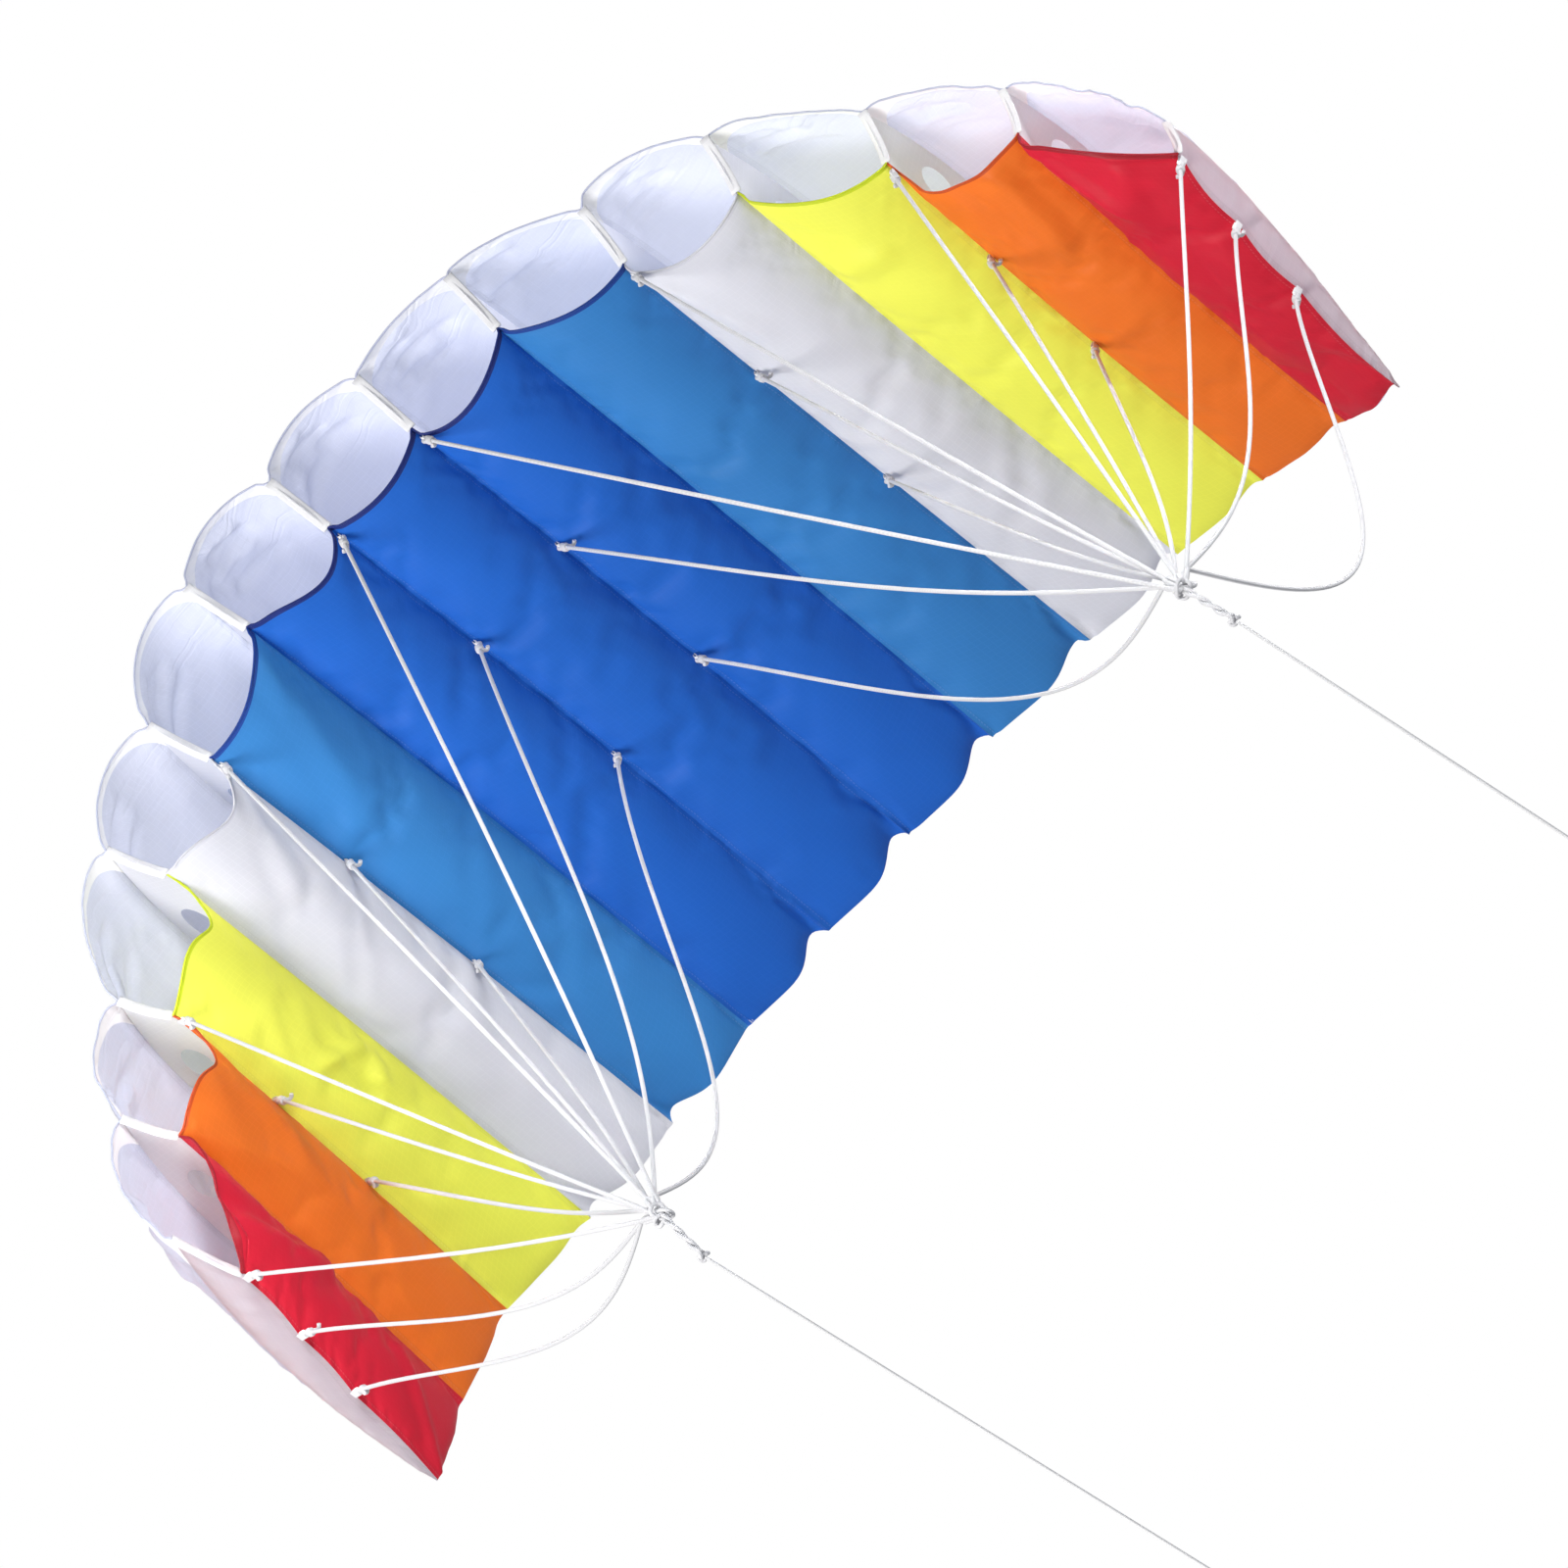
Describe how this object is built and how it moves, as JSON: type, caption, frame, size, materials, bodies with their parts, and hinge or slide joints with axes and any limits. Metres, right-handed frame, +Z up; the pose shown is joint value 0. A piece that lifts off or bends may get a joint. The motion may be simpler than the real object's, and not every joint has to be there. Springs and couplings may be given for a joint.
{
  "type": "dual-line ram-air foil kite",
  "caption": "Soft ram-air foil kite with open front inlets, coloured lower panels, a bridle gathered into two tow loops and two flying lines with end loops.",
  "frame": {"origin": "on the underside of the centre cell, right above the two tow loops, where the canopy's lift acts", "axes": "+X across the span, +Y from the leading to the trailing edge, +Z up, away from the pilot; the flying lines run down, near -Z"},
  "size_m": [1.0502, 0.5654, 1.8019],
  "materials": {
    "lower_red": "thin coloured ripstop with a faint sheen",
    "lower_orange": "thin coloured ripstop with a faint sheen",
    "lower_yellow": "thin coloured ripstop with a faint sheen",
    "lower_white": "thin coloured ripstop with a faint sheen",
    "lower_light_blue": "thin coloured ripstop with a faint sheen",
    "lower_blue": "thin coloured ripstop with a faint sheen",
    "rib_white": "plain weave ripstop, white",
    "top_white": "thin white ripstop with a faint sheen",
    "bridle_white": "braided white polyester cord",
    "line_grey": "thin pale braided line",
    "loop_tape": "woven white tape"
  },
  "bodies": {
    "canopy": {"lower_panel_01": "lower_red", "lower_panel_02": "lower_orange", "lower_panel_03": "lower_yellow", "lower_panel_04": "lower_white", "lower_panel_05": "lower_light_blue", "lower_panel_06": "lower_blue", "lower_panel_07": "lower_blue", "lower_panel_08": "lower_blue", "lower_panel_09": "lower_light_blue", "lower_panel_10": "lower_white", "lower_panel_11": "lower_yellow", "lower_panel_12": "lower_orange", "lower_panel_13": "lower_red", "rib_01": "rib_white", "rib_02": "rib_white", "rib_03": "rib_white", "rib_04": "rib_white", "rib_05": "rib_white", "rib_06": "rib_white", "rib_07": "rib_white", "rib_08": "rib_white", "rib_09": "rib_white", "rib_10": "rib_white", "rib_11": "rib_white", "rib_12": "rib_white", "rib_13": "rib_white", "rib_14": "rib_white", "top_skin_left": "top_white", "top_skin_centre": "top_white", "top_skin_right": "top_white", "bridle_left_a1": "bridle_white", "bridle_left_a2": "bridle_white", "bridle_left_a3": "bridle_white", "bridle_left_a4": "bridle_white", "bridle_left_b1": "bridle_white", "bridle_left_b2": "bridle_white", "bridle_left_b3": "bridle_white", "bridle_left_b4": "bridle_white", "bridle_left_c1": "bridle_white", "bridle_left_c2": "bridle_white", "bridle_left_c3": "bridle_white", "bridle_left_c4": "bridle_white", "bridle_right_a1": "bridle_white", "bridle_right_a2": "bridle_white", "bridle_right_a3": "bridle_white", "bridle_right_a4": "bridle_white", "bridle_right_b1": "bridle_white", "bridle_right_b2": "bridle_white", "bridle_right_b3": "bridle_white", "bridle_right_b4": "bridle_white", "bridle_right_c1": "bridle_white", "bridle_right_c2": "bridle_white", "bridle_right_c3": "bridle_white", "bridle_right_c4": "bridle_white"},
    "tow_left": {"tow_loop_left": "bridle_white"},
    "line_left": {"flying_line_left": "line_grey"},
    "end_left": {"end_loop_left": "loop_tape"},
    "tow_right": {"tow_loop_right": "bridle_white"},
    "line_right": {"flying_line_right": "line_grey"},
    "end_right": {"end_loop_right": "loop_tape"}
  },
  "joints": [
    {"name": "left_tow_loop_swing", "type": "hinge", "parent": "canopy", "child": "tow_left", "pos_m": [-0.252, 0, -0.805], "axis": [1, 0, 0], "range_deg": [-60, 60]},
    {"name": "left_flying_line_swing", "type": "hinge", "parent": "tow_left", "child": "line_left", "pos_m": [-0.252, 0, -0.885], "axis": [0, 1, 0], "range_deg": [-24, 60]},
    {"name": "left_end_loop_swing", "type": "hinge", "parent": "line_left", "child": "end_left", "pos_m": [-0.17758, 0, -1.6306], "axis": [0, 1, 0], "range_deg": [-80, 80]},
    {"name": "right_tow_loop_swing", "type": "hinge", "parent": "canopy", "child": "tow_right", "pos_m": [0.252, 0, -0.805], "axis": [1, 0, 0], "range_deg": [-60, 60]},
    {"name": "right_flying_line_swing", "type": "hinge", "parent": "tow_right", "child": "line_right", "pos_m": [0.252, 0, -0.885], "axis": [0, 1, 0], "range_deg": [-60, 24]},
    {"name": "right_end_loop_swing", "type": "hinge", "parent": "line_right", "child": "end_right", "pos_m": [0.24285, 0, -1.63424], "axis": [0, 1, 0], "range_deg": [-80, 80]}
  ]
}
